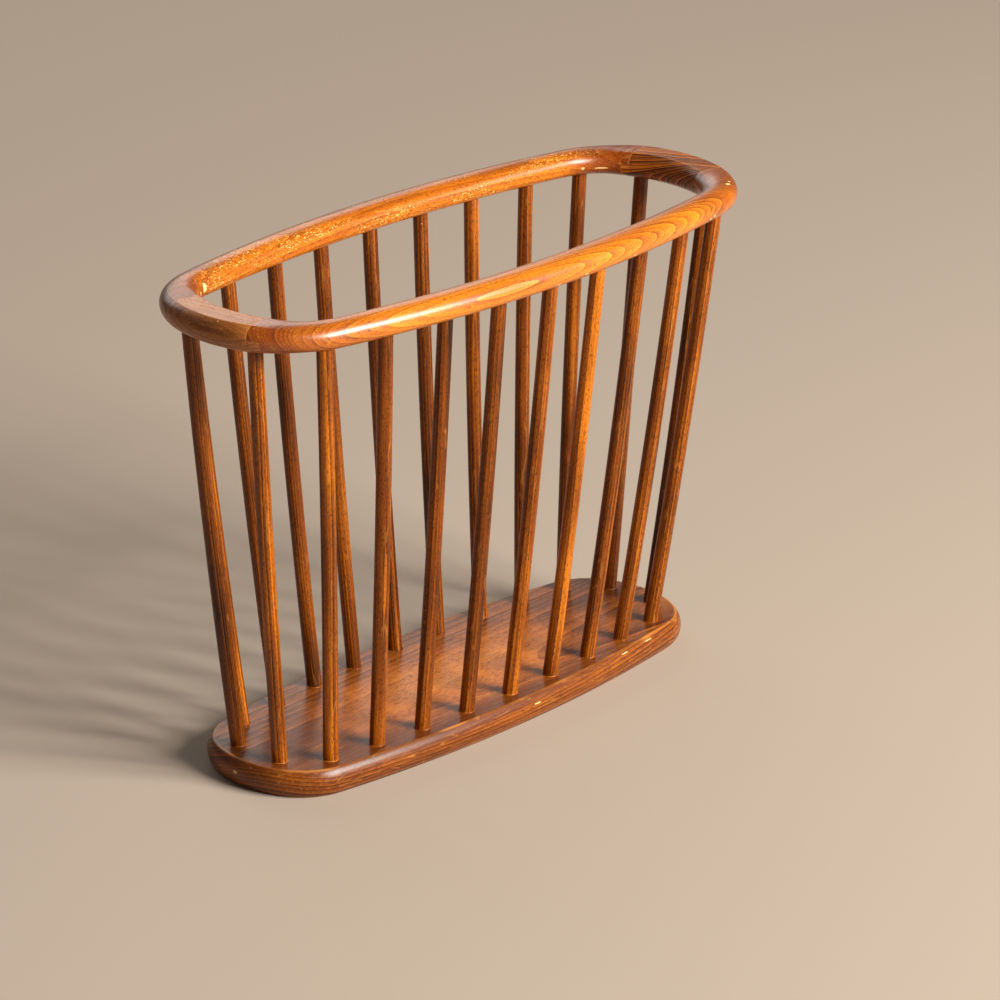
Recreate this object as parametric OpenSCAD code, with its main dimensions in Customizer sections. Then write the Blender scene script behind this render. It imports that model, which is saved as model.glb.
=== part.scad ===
// Oval magazine rack: a solid board, twenty-two bowed spindles and a top rail
// glued up from four sawn segments with half-lap joints.
// Origin: middle of the board's underside. +X runs along the rack, +Z is up.

/* [Board] */
// Length of the oval board, edge to edge
board_length = 446; // [370:1:540]
// Width of the oval board, edge to edge
board_width = 150; // [124:1:182]
// Thickness of the board
board_thickness = 20.5; // [16:0.5:26]
// Radius of the board's four corner stretches
board_corner_radius = 49; // [40:1:59]
// How far the radius of the rounded edge passes half the thickness, seen in section
board_edge_spread = 4.25; // [2:0.25:8]

/* [Rail] */
// Length of the top rail, outside to outside
rail_length = 520; // [440:1:624]
// Width of the top rail, outside to outside
rail_width = 202; // [168:1:243]
// Thickness of the rail, top to underside
rail_thickness = 19.5; // [16:0.5:23.5]
// Width of the rail's wood along the long sides
rail_side_band = 26.5; // [22.5:0.5:32]
// Width of the rail's wood at the two ends
rail_end_band = 32; // [27:0.5:38.5]
// Radius of the rail's corners on the outside
rail_corner_radius = 72; // [60:1:86]
// How far the radius of the rail's rounded edges passes half its thickness, seen in section
rail_edge_spread = 0.75; // [0.25:0.25:4]
// Length of the half-lap between two rail segments
lap_length = 7.5; // [6:0.5:9]
// Distance along the rail from an end spindle to the middle of the lap
lap_offset = 7; // [6.5:0.5:8.5]

/* [Spindles] */
// Diameter of the spindles
spindle_diameter = 11; // [9:0.5:13.5]
// How far each spindle bulges out of line at half its height
spindle_bow = 1.6; // [0.8:0.1:3]
// Distance from the board's edge to the spindles' axes
foot_inset = 18; // [14.5:0.5:22]
// Gap along the board between the two spindles at an end
foot_end_gap = 42; // [34:1:51]
// Gap along the board from an end spindle to the last side spindle
foot_corner_gap = 38; // [31:1:46]
// Places of the three spindles between a side's middle and its last one, as shares of that run
foot_shares = [0.26, 0.515, 0.76]; // [0.05:0.005:0.95]
// Gap along the rail between the two spindles at an end
head_end_gap = 65; // [54:1:78]
// Gap along the rail from an end spindle to the last side spindle
head_corner_gap = 48; // [40:1:58]
// Places of the same three spindles along the rail, as shares of that run
head_shares = [0.252, 0.498, 0.756]; // [0.05:0.005:0.95]

/* [Fits] */
// Overall height of the rack
rack_height = 360.5; // [300:1:433]
// Wood left under the blind holes in the board
foot_bore_floor = 7; // [5:0.5:9]
// Wood left between a blind hole in the rail and the plane of the laps
head_bore_floor = 1.75; // [1.5:0.25:2.25]
// Glue clearance all round a spindle in its hole
glue_gap = 0.05; // [0.02:0.01:0.15]

/* [Hidden] */
$fn = 96;
sweep_steps = 480; // steps in a full turn of the long sweeps
side_spindles = 9;
side_middle = (side_spindles + 1) / 2;
mouth = 6;        // how far a drill starts outside the wood
spare = 1;        // how far a cutter passes the wood
seam = 0.1;       // how far a corner stretch stands proud, so that its neighbours join it
seam_reach = 0.5; // how far those neighbours run into it

// Turn of the outline, from square to the long side, where one stretch gives way to the next
board_turns = [8.8, 64];
rail_outer_turns = [11.8, 70];
rail_inner_turns = [9.3, 70];

board_half = board_thickness / 2;
board_edge_radius = board_half + board_edge_spread;
rail_half = rail_thickness / 2;
rail_edge_radius = rail_half + rail_edge_spread;
rail_middle = rack_height - rail_half;
foot_bore_depth = board_thickness - foot_bore_floor;
head_bore_depth = rail_half - head_bore_floor;
bore_diameter = spindle_diameter + 2 * glue_gap;
// Depth of the band from which each rounded edge is swept
board_band = board_corner_radius - spare;
rail_band = rail_end_band + 8;

SIDE_NUMBERS = [for (i = [1 : side_spindles]) i];

// ---- Ovals ----
// An oval has two lines of symmetry. Each quarter is a side stretch, a corner stretch and an
// end stretch, which meet smoothly. An oval is held as [radii, centres, turns].

function side_radius(a, b, corner, t) =
    let (u = a - corner * (sin(t[1]) - sin(t[0])), v = b - corner * (cos(t[0]) - cos(t[1])))
    (u * cos(t[1]) - v * (1 - sin(t[1]))) / turn_scale(t);

function end_radius(a, b, corner, t) =
    let (u = a - corner * (sin(t[1]) - sin(t[0])), v = b - corner * (cos(t[0]) - cos(t[1])))
    (v * sin(t[0]) - u * (1 - cos(t[0]))) / turn_scale(t);

function turn_scale(t) = sin(t[0]) * cos(t[1]) - (1 - sin(t[1])) * (1 - cos(t[0]));

function facing(turn) = [sin(turn), cos(turn)];

// The oval of half-length a and half-width b with the given corner radius
function oval(a, b, corner, turns) =
    let (
        side = side_radius(a, b, corner, turns),
        end = end_radius(a, b, corner, turns),
        side_centre = [0, b - side],
        corner_centre = side_centre + (side - corner) * facing(turns[0]),
        end_centre = [a - end, 0]
    )
    [[side, corner, end], [side_centre, corner_centre, end_centre], turns];

function stretch_length(o, i, inset) =
    let (bounds = [0, o[2][0], o[2][1], 90])
    (o[0][i] - inset) * (bounds[i + 1] - bounds[i]) * PI / 180;

function quarter_length(o, inset) =
    stretch_length(o, 0, inset) + stretch_length(o, 1, inset) + stretch_length(o, 2, inset);

// Turn of the outline at a distance along the quarter, from the middle of the side
function turn_at(o, inset, distance) =
    let (first = stretch_length(o, 0, inset), second = first + stretch_length(o, 1, inset))
    distance < first ? distance / (o[0][0] - inset) * 180 / PI :
    distance < second ? o[2][0] + (distance - first) / (o[0][1] - inset) * 180 / PI :
    o[2][1] + (distance - second) / (o[0][2] - inset) * 180 / PI;

// Point of the inset oval whose outline faces the given turn
function point_at(o, inset, turn) =
    let (i = turn < o[2][0] ? 0 : turn < o[2][1] ? 1 : 2)
    o[1][i] + (o[0][i] - inset) * facing(turn);

board_oval = oval(board_length / 2, board_width / 2, board_corner_radius, board_turns);
rail_outer = oval(rail_length / 2, rail_width / 2, rail_corner_radius, rail_outer_turns);
rail_inner = oval(
    rail_length / 2 - rail_end_band, rail_width / 2 - rail_side_band,
    rail_corner_radius - rail_side_band + spare, rail_inner_turns
);
rail_line = oval(
    (rail_length - rail_end_band) / 2, (rail_width - rail_side_band) / 2,
    rail_corner_radius - rail_side_band / 2, (rail_outer_turns + rail_inner_turns) / 2
);

// ---- Places of the spindles ----
// A place is the distance along the quarter oval and the two signs that pick the quarter.

foot_end_run = quarter_length(board_oval, foot_inset) - foot_end_gap / 2;
head_end_run = quarter_length(rail_line, 0) - head_end_gap / 2;
foot_side_run = foot_end_run - foot_corner_gap;
head_side_run = head_end_run - head_corner_gap;
foot_steps = concat([0], foot_shares, [1]);
head_steps = concat([0], head_shares, [1]);

function place_on(o, inset, run, signs) =
    let (p = point_at(o, inset, turn_at(o, inset, run)))
    [p[0] * signs[0], p[1] * signs[1]];

// Foot on the board, head at the rail's middle height, and the way the spindle bulges
function spindle_line(foot_run, head_run, signs) =
    let (
        foot = place_on(board_oval, foot_inset, foot_run, signs),
        head = place_on(rail_line, 0, head_run, signs),
        bulge = facing(turn_at(board_oval, foot_inset, foot_run))
    )
    [
        [foot[0], foot[1], board_thickness],
        [head[0], head[1], rail_middle],
        atan2(bulge[1] * signs[1], bulge[0] * signs[0])
    ];

function side_line(i, y_sign) =
    let (step = abs(i - side_middle))
    spindle_line(
        foot_steps[step] * foot_side_run, head_steps[step] * head_side_run,
        [i < side_middle ? -1 : 1, y_sign]
    );

function end_line(x_sign, y_sign) = spindle_line(foot_end_run, head_end_run, [x_sign, y_sign]);

// ---- Spindles and their holes ----

function run_of(line) = line[1] - line[0];
// Straight distance from the board's top to the rail's underside
function free_length(line) = norm(run_of(line)) * (run_of(line)[2] - rail_half) / run_of(line)[2];
function bow_radius(line) = (pow(free_length(line) / 2, 2) + pow(spindle_bow, 2)) / (2 * spindle_bow);
function bow_angle(line) = asin(free_length(line) / 2 / bow_radius(line));

// Stands the children on a foot, upright along the line and with +X the way it bulges
module along(line) {
    run = run_of(line);
    lean_way = atan2(run[1], run[0]);
    lean = atan2(norm([run[0], run[1]]), run[2]);
    translate(line[0]) rotate([0, 0, lean_way]) rotate([0, lean, 0])
        rotate([0, 0, line[2] - lean_way]) children();
}

// Turn that a length of the spindle takes about the centre of its bow
function bow_turn(line, length) = length / bow_radius(line) * 180 / PI;

// One bowed dowel, from the bottom of its hole in the board to the top of its hole in the rail
module spindle(line) {
    ring = bow_radius(line);
    from = -bow_angle(line) - bow_turn(line, foot_bore_depth);
    to = bow_angle(line) + bow_turn(line, head_bore_depth);
    along(line) translate([spindle_bow - ring, 0, free_length(line) / 2]) rotate([90, 0, 0])
        rotate_extrude(angle = to - from, start = from)
            translate([ring, 0]) circle(d = spindle_diameter);
}

module foot_bore(line) {
    along(line) rotate([0, bow_angle(line), 0]) translate([0, 0, -foot_bore_depth])
        cylinder(d = bore_diameter, h = foot_bore_depth + mouth);
}

module head_bore(line) {
    along(line) translate([0, 0, free_length(line)]) rotate([0, -bow_angle(line), 0])
        translate([0, 0, -mouth]) cylinder(d = bore_diameter, h = mouth + head_bore_depth);
}

// ---- Swept edges ----

// Sweeps a section about a centre, between two facings in degrees
module sweep_about(centre, from, to) {
    translate([centre[0], centre[1], 0])
        rotate_extrude(angle = to - from, start = from, $fn = sweep_steps) children();
}

// Section of wood with a rounded outer edge at the given radius
module outer_section(radius, band, half, edge) {
    intersection() {
        translate([radius - band, -half]) square([band, 2 * half]);
        union() {
            translate([radius - edge, 0]) circle(edge);
            translate([radius - band, -half]) square([band - edge, 2 * half]);
        }
    }
}

// Section of a cutter that leaves a rounded inner edge at the given radius
module inner_cutter_section(radius, band, half, edge) {
    difference() {
        translate([radius - band, -half - spare]) square([band + edge, 2 * (half + spare)]);
        translate([radius + edge, 0]) circle(edge);
    }
}

// The stretches of an oval as [centre, radius, from, to]. The side faces +Y and the end faces +X.
// Sides and ends run a little way into the corners, which stand proud of them by the seam.
function reach_turn(radius) = seam_reach / radius * 180 / PI;
function side_stretch(o) =
    let (half = o[2][0] + reach_turn(o[0][0]))
    [o[1][0], o[0][0], 90 - half, 90 + half];
function end_stretch(o) =
    let (half = 90 - o[2][1] + reach_turn(o[0][2]))
    [o[1][2], o[0][2], -half, half];
function left_stretch(o) = let (s = end_stretch(o)) [-s[0], s[1], s[2] + 180, s[3] + 180];
function corner_centre(o, signs) = [signs[0] * o[1][1][0], signs[1] * o[1][1][1]];
function right_corner(o) = [corner_centre(o, [1, 1]), o[0][1] + seam, 90 - o[2][1], 90 - o[2][0]];
function left_corner(o) = [corner_centre(o, [-1, 1]), o[0][1] + seam, 90 + o[2][0], 90 + o[2][1]];
function front_corner(o) = [corner_centre(o, [1, -1]), o[0][1] + seam, o[2][0] - 90, o[2][1] - 90];

module wood_band(s, band, half, edge) {
    sweep_about(s[0], s[2], s[3]) outer_section(s[1], band, half, edge);
}

module cutter_band(s, band, half, edge) {
    sweep_about(s[0], s[2], s[3]) inner_cutter_section(s[1], band, half, edge);
}

// ---- Board ----

// Half of the board's rounded edge: one long side, two corners and one end
module board_half_edge() {
    for (s = [side_stretch(board_oval), right_corner(board_oval), left_corner(board_oval),
              end_stretch(board_oval)])
        wood_band(s, board_band, board_half, board_edge_radius);
}

module board_core() {
    core_inset = board_edge_radius + spare;
    turns = [for (i = [0 : 6 : 90]) i];
    quarter = [for (t = turns) point_at(board_oval, core_inset, t)];
    last = len(quarter) - 1;
    outline = concat(
        quarter,
        [for (i = [last - 1 : -1 : 0]) [quarter[i][0], -quarter[i][1]]],
        [for (i = [1 : last]) [-quarter[i][0], -quarter[i][1]]],
        [for (i = [last - 1 : -1 : 1]) [-quarter[i][0], quarter[i][1]]]
    );
    linear_extrude(board_thickness) polygon(outline);
}

module board() {
    color("saddlebrown") difference() {
        union() {
            board_core();
            for (turn = [0, 180])
                rotate([0, 0, turn]) translate([0, 0, board_half]) board_half_edge();
        }
        for (i = SIDE_NUMBERS, y_sign = [-1, 1]) foot_bore(side_line(i, y_sign));
        for (x_sign = [-1, 1], y_sign = [-1, 1]) foot_bore(end_line(x_sign, y_sign));
    }
}

// ---- Rail ----

lap_turn = turn_at(rail_line, 0, head_end_run - lap_offset);
lap_point = point_at(rail_line, 0, lap_turn);

// Everything past the lap at the +X end, with the cut moved along the rail by shift. The cut
// runs in to the rack's long axis.
module end_region(shift, height) {
    start = lap_point + [cos(lap_turn), -sin(lap_turn)] * shift;
    inner = start - facing(lap_turn) * start[1] / cos(lap_turn);
    outer = start + facing(lap_turn) * rail_end_band;
    reach = [rail_length, 0];
    linear_extrude(height) polygon([
        inner, outer, outer + reach, [outer[0], -outer[1]] + reach, [outer[0], -outer[1]]
    ]);
}

// The end segment's share: its lower half reaches further along than its upper half
module end_share() {
    translate([0, 0, -rail_half - 2 * spare])
        end_region(-lap_length / 2, rail_half + 2 * spare);
    end_region(lap_length / 2, rail_half + 2 * spare);
}

module rail_stretches(outer_stretches, inner_stretches) {
    difference() {
        union() for (s = outer_stretches) wood_band(s, rail_band, rail_half, rail_edge_radius);
        for (s = inner_stretches) cutter_band(s, rail_band - spare, rail_half, rail_edge_radius);
    }
}

// The long segment on the +Y side, before drilling. The well is cut past both of its laps.
module side_segment() {
    translate([0, 0, rail_middle]) difference() {
        rail_stretches(
            [side_stretch(rail_outer), right_corner(rail_outer), left_corner(rail_outer)],
            [side_stretch(rail_inner), right_corner(rail_inner), left_corner(rail_inner),
             end_stretch(rail_inner), left_stretch(rail_inner)]
        );
        end_share();
        rotate([0, 0, 180]) end_share();
    }
}

// The short segment at the +X end, before drilling
module end_segment() {
    translate([0, 0, rail_middle]) intersection() {
        rail_stretches(
            [end_stretch(rail_outer), right_corner(rail_outer), front_corner(rail_outer)],
            [end_stretch(rail_inner), right_corner(rail_inner), front_corner(rail_inner)]
        );
        end_share();
    }
}

module rail_side(y_sign) {
    difference() {
        rotate([0, 0, y_sign > 0 ? 0 : 180]) side_segment();
        for (i = SIDE_NUMBERS) head_bore(side_line(i, y_sign));
    }
}

module rail_end(x_sign) {
    difference() {
        rotate([0, 0, x_sign > 0 ? 0 : 180]) end_segment();
        for (y_sign = [-1, 1]) head_bore(end_line(x_sign, y_sign));
    }
}

module rail_front() { color("peru") rail_side(-1); }
module rail_back() { color("peru") rail_side(1); }
module rail_left() { color("sienna") rail_end(-1); }
module rail_right() { color("sienna") rail_end(1); }
module spindle_front(i) { color("chocolate") spindle(side_line(i, -1)); }
module spindle_back(i) { color("chocolate") spindle(side_line(i, 1)); }
module spindle_end(x_sign, y_sign) { color("chocolate") spindle(end_line(x_sign, y_sign)); }

board();
rail_front();
rail_back();
rail_left();
rail_right();
for (i = SIDE_NUMBERS) {
    spindle_front(i);
    spindle_back(i);
}
spindle_end(-1, -1);  // spindle_left_front
spindle_end(-1, 1);  // spindle_left_back
spindle_end(1, -1);  // spindle_right_front
spindle_end(1, 1);  // spindle_right_back
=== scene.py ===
"""Oval magazine rack in varnished wood: solid board, bowed spindles and a rail of four lapped segments."""
import math
import random

import bmesh
import bpy
from mathutils import Matrix, Vector


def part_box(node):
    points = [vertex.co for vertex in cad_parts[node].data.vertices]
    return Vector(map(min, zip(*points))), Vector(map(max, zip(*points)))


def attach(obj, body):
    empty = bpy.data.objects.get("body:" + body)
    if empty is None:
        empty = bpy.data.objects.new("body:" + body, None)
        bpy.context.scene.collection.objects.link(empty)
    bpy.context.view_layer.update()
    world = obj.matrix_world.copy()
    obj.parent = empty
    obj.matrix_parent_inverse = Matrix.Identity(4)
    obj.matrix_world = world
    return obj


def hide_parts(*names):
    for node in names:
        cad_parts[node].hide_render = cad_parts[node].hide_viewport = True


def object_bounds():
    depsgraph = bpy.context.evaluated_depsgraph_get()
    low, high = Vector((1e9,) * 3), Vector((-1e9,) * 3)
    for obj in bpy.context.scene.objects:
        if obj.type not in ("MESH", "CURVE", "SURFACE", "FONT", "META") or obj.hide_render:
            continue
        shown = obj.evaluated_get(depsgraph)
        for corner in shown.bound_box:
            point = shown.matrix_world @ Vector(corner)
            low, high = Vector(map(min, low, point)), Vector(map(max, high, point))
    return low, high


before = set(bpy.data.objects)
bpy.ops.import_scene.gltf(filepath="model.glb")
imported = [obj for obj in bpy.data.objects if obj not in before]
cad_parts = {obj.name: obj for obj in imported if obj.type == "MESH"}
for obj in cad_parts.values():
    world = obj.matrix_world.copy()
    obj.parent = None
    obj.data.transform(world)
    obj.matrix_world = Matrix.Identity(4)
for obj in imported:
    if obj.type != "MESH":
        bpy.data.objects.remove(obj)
cad_low, cad_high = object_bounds()

# ---- Driving sizes, in metres, as the rack is built ----
MM = 0.001
BOARD_LENGTH = 446 * MM
BOARD_WIDTH = 150 * MM
BOARD_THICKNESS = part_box("board")[1][2]
BOARD_CORNER = 49 * MM
BOARD_EDGE_SPREAD = 4.25 * MM
BOARD_TURNS = (8.8, 64.0)

RACK_HEIGHT = cad_high[2]
RAIL_LENGTH = 520 * MM
RAIL_WIDTH = 202 * MM
RAIL_THICKNESS = 19.5 * MM
RAIL_SIDE_BAND = 26.5 * MM
RAIL_END_BAND = 32 * MM
RAIL_CORNER = 72 * MM
RAIL_INNER_CORNER = RAIL_CORNER - RAIL_SIDE_BAND + 1 * MM
RAIL_EDGE_SPREAD = 0.75 * MM
RAIL_OUTER_TURNS = (11.8, 70.0)
RAIL_INNER_TURNS = (9.3, 70.0)
LAP_LENGTH = 7.5 * MM
LAP_OFFSET = 7 * MM

SPINDLE_DIAMETER = 11 * MM
SPINDLE_BOW = 1.6 * MM
SIDE_SPINDLES = 9
FOOT_INSET = 18 * MM
FOOT_END_GAP = 42 * MM
FOOT_CORNER_GAP = 38 * MM
FOOT_SHARES = (0, 0.26, 0.515, 0.76, 1)
FOOT_DEPTH = BOARD_THICKNESS - 7 * MM
HEAD_END_GAP = 65 * MM
HEAD_CORNER_GAP = 48 * MM
HEAD_SHARES = (0, 0.252, 0.498, 0.756, 1)
HEAD_DEPTH = RAIL_THICKNESS / 2 - 1.75 * MM

RAIL_HALF = RAIL_THICKNESS / 2
RAIL_MIDDLE = RACK_HEIGHT - RAIL_HALF


# ---- Ovals: a side, a corner and an end arc in each quarter, meeting smoothly ----

class Oval:
    def __init__(self, half_length, half_width, corner, turns):
        low, high = (math.radians(turn) for turn in turns)
        u = half_length - corner * (math.sin(high) - math.sin(low))
        v = half_width - corner * (math.cos(low) - math.cos(high))
        scale = math.sin(low) * math.cos(high) - (1 - math.sin(high)) * (1 - math.cos(low))
        side = (u * math.cos(high) - v * (1 - math.sin(high))) / scale
        end = (v * math.sin(low) - u * (1 - math.cos(low))) / scale
        side_centre = Vector((0, half_width - side))
        self.bounds = (0, low, high, math.pi / 2)
        self.radii = (side, corner, end)
        self.centres = (
            side_centre,
            side_centre + (side - corner) * facing(low),
            Vector((half_length - end, 0)),
        )

    def stretch(self, index, inset):
        return (self.radii[index] - inset) * (self.bounds[index + 1] - self.bounds[index])

    def quarter(self, inset=0.0):
        return sum(self.stretch(index, inset) for index in range(3))

    def turn_at(self, run, inset=0.0):
        for index in range(3):
            length = self.stretch(index, inset)
            if run < length or index == 2:
                return self.bounds[index] + run / (self.radii[index] - inset)
            run -= length

    def point(self, turn, inset=0.0):
        index = 0 if turn < self.bounds[1] else 1 if turn < self.bounds[2] else 2
        return self.centres[index] + (self.radii[index] - inset) * facing(turn)


def facing(turn):
    return Vector((math.sin(turn), math.cos(turn)))


board_oval = Oval(BOARD_LENGTH / 2, BOARD_WIDTH / 2, BOARD_CORNER, BOARD_TURNS)
rail_outer = Oval(RAIL_LENGTH / 2, RAIL_WIDTH / 2, RAIL_CORNER, RAIL_OUTER_TURNS)
rail_inner = Oval(
    RAIL_LENGTH / 2 - RAIL_END_BAND,
    RAIL_WIDTH / 2 - RAIL_SIDE_BAND,
    RAIL_INNER_CORNER,
    RAIL_INNER_TURNS,
)
rail_line = Oval(
    (RAIL_LENGTH - RAIL_END_BAND) / 2,
    (RAIL_WIDTH - RAIL_SIDE_BAND) / 2,
    RAIL_CORNER - RAIL_SIDE_BAND / 2,
    tuple((a + b) / 2 for a, b in zip(RAIL_OUTER_TURNS, RAIL_INNER_TURNS)),
)
RAIL_QUARTER = rail_line.quarter()
FOOT_END_RUN = board_oval.quarter(FOOT_INSET) - FOOT_END_GAP / 2
HEAD_END_RUN = RAIL_QUARTER - HEAD_END_GAP / 2
LAP_MIDDLE = HEAD_END_RUN - LAP_OFFSET


# ---- Building nodes ----

def feed(tree, socket, value):
    if isinstance(value, bpy.types.NodeSocket):
        tree.links.new(value, socket)
    else:
        socket.default_value = value


def put(tree, kind, feeds=(), **settings):
    node = tree.nodes.new(kind)
    for key, value in settings.items():
        setattr(node, key, value)
    for key, value in dict(feeds).items():
        feed(tree, node.inputs[key], value)
    return node


def maths(tree, operation, *values, clamp=False):
    feeds = dict(enumerate(values))
    return put(tree, "ShaderNodeMath", feeds, operation=operation, use_clamp=clamp).outputs[0]


def vector_maths(tree, operation, *values):
    return put(tree, "ShaderNodeVectorMath", dict(enumerate(values)), operation=operation).outputs[0]


def blend(tree, share, first, second, mode="MIX"):
    """Mixes two colours: all first at a share of 0, all second at 1."""
    node = put(tree, "ShaderNodeMix", data_type="RGBA", blend_type=mode)
    feed(tree, node.inputs[0], share)
    feed(tree, node.inputs[6], first)
    feed(tree, node.inputs[7], second)
    return node.outputs[2]


def ramped(tree, value, low, high, to_low=0.0, to_high=1.0):
    feeds = {0: value, 1: low, 2: high, 3: to_low, 4: to_high}
    node = put(tree, "ShaderNodeMapRange", feeds, interpolation_type="SMOOTHSTEP")
    return node.outputs[0]


def noise(tree, place, scale=(1, 1, 1), detail=2.0, roughness=0.5, distortion=0.0):
    """Noise on a place in metres, with the number of cells to a metre given for each direction."""
    stretched = vector_maths(tree, "MULTIPLY", place, scale)
    feeds = {"Vector": stretched, "Scale": 1.0, "Detail": detail,
             "Roughness": roughness, "Distortion": distortion}
    return put(tree, "ShaderNodeTexNoise", feeds).outputs[0]


SOCKETS = {"place": "NodeSocketVector", "value": "NodeSocketFloat", "colour": "NodeSocketColor",
           "count": "NodeSocketInt", "shape": "NodeSocketGeometry", "wood": "NodeSocketMaterial"}


def node_group(name, inputs, outputs, kind="ShaderNodeTree"):
    """An empty node group, with its inputs as (name, sort, value) and its outputs as (name, sort)."""
    tree = bpy.data.node_groups.new(name, kind)
    for title, sort, value in inputs:
        socket = tree.interface.new_socket(name=title, in_out="INPUT", socket_type=SOCKETS[sort])
        if value is not None:
            socket.default_value = value
    for title, sort in outputs:
        tree.interface.new_socket(name=title, in_out="OUTPUT", socket_type=SOCKETS[sort])
    return tree, tree.nodes.new("NodeGroupInput").outputs, tree.nodes.new("NodeGroupOutput").inputs


# ---- Shader groups shared by the woods. A place has X along the grain, in metres ----

# Cells of noise to a metre, along the grain and both ways across it
RING_DRIFT_CELLS = (5, 26, 26)
RING_SHIVER_CELLS = (40, 300, 300)
FIBRE_CELLS = (14, 620, 620)
TONE_DRIFT_CELLS = (9, 38, 38)
RUBBED_CELLS = (22, 30, 30)
SCRATCH_CELLS = (16, 170, 170)
SCRATCH_PATCH_CELLS = (40, 120, 120)
VARNISH_SLOW_CELLS = (70, 110, 110)
VARNISH_FINE_CELLS = (420, 1500, 1500)
CHIP_EDGE_CELLS = (900, 900, 900)
GLINT_PATCH_CELLS = (12, 60, 60)
BOARD_PATCH_CELLS = (14, 24, 24)
DOWEL_SWELL_CELLS = (26, 26, 26)

# Shares of one ring's width where its pale opening line starts and fades
LINE_START = (0.0, 0.025)
LINE_FADE = (0.06, 0.15)
RING_FALL = 1.4
RING_SHIVER = 0.08
LEAN_YEARS_PACE = 0.37
LEAN_YEARS_SPREAD = 1.6

def make_growth_rings():
    """Rings round a pith along X: each opens with a fine pale line and darkens outwards."""
    tree, given, made = node_group(
        "Growth rings",
        [("Place", "place", None), ("Ring Width", "value", 0.0026), ("Wander", "value", 0.0016)],
        [("Swell", "value"), ("Line", "value"), ("Shade", "value")],
    )
    parts = put(tree, "ShaderNodeSeparateXYZ", {0: given["Place"]})
    across = put(tree, "ShaderNodeCombineXYZ", {1: parts.outputs[1], 2: parts.outputs[2]})
    pith = put(tree, "ShaderNodeVectorMath", {0: across.outputs[0]}, operation="LENGTH")
    drift = maths(tree, "SUBTRACT", noise(tree, given["Place"], RING_DRIFT_CELLS), 0.5)
    shiver = maths(tree, "SUBTRACT", noise(tree, given["Place"], RING_SHIVER_CELLS, 1.0), 0.5)
    drift = maths(tree, "MULTIPLY_ADD", shiver, RING_SHIVER, drift)
    radius = maths(tree, "MULTIPLY_ADD", drift, given["Wander"], pith.outputs["Value"])
    count = maths(tree, "DIVIDE", radius, given["Ring Width"])
    lean_years = put(tree, "ShaderNodeTexNoise", {"W": count, "Scale": LEAN_YEARS_PACE, "Detail": 1.0},
                     noise_dimensions="1D")
    count = maths(tree, "MULTIPLY_ADD", lean_years.outputs[0], LEAN_YEARS_SPREAD, count)
    ring = maths(tree, "FRACT", count)
    year = put(tree, "ShaderNodeTexWhiteNoise", {"W": maths(tree, "FLOOR", count)},
               noise_dimensions="1D")
    feed(tree, made["Swell"], maths(tree, "SUBTRACT", 1.0, maths(tree, "POWER", ring, RING_FALL)))
    begun = ramped(tree, ring, *LINE_START)
    gone = ramped(tree, ring, *LINE_FADE, 1.0, 0.0)
    feed(tree, made["Line"], maths(tree, "MULTIPLY", begun, gone))
    feed(tree, made["Shade"], year.outputs[0])
    return tree


# How much of the noise becomes a pore: less of it starts one as the cover grows
PORE_START = 0.82
PORE_START_FALL = 0.5
PORE_EDGE = 0.1


def make_wood_pores():
    """Short dashes along the grain, where the vessels were cut open."""
    tree, given, made = node_group(
        "Wood pores",
        [("Place", "place", None), ("Length", "value", 0.0035), ("Width", "value", 0.0004),
         ("Cover", "value", 0.4)],
        [("Pores", "value")],
    )
    along = maths(tree, "DIVIDE", 1.0, given["Length"])
    across = maths(tree, "DIVIDE", 1.0, given["Width"])
    scale = put(tree, "ShaderNodeCombineXYZ", {0: along, 1: across, 2: across}).outputs[0]
    dashes = noise(tree, given["Place"], scale, 0.0, 0.5)
    start = maths(tree, "MULTIPLY_ADD", given["Cover"], -PORE_START_FALL, PORE_START)
    stop = maths(tree, "ADD", start, PORE_EDGE)
    feed(tree, made["Pores"], ramped(tree, dashes, start, stop))
    return tree


def make_wood_fibre():
    """Fine streaks along the grain, and the broad drift of tone over a plank."""
    tree, given, made = node_group(
        "Wood fibre",
        [("Place", "place", None)],
        [("Streaks", "value"), ("Drift", "value")],
    )
    feed(tree, made["Streaks"], noise(tree, given["Place"], FIBRE_CELLS, 2.0, 0.65))
    feed(tree, made["Drift"], noise(tree, given["Place"], TONE_DRIFT_CELLS))
    return tree


MIDDLE_TONE = 0.45
YEAR_SHARE = 0.6
DARK_TO_BODY = (0.0, 0.5)
BODY_TO_PALE = (0.4, 1.0)


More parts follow.
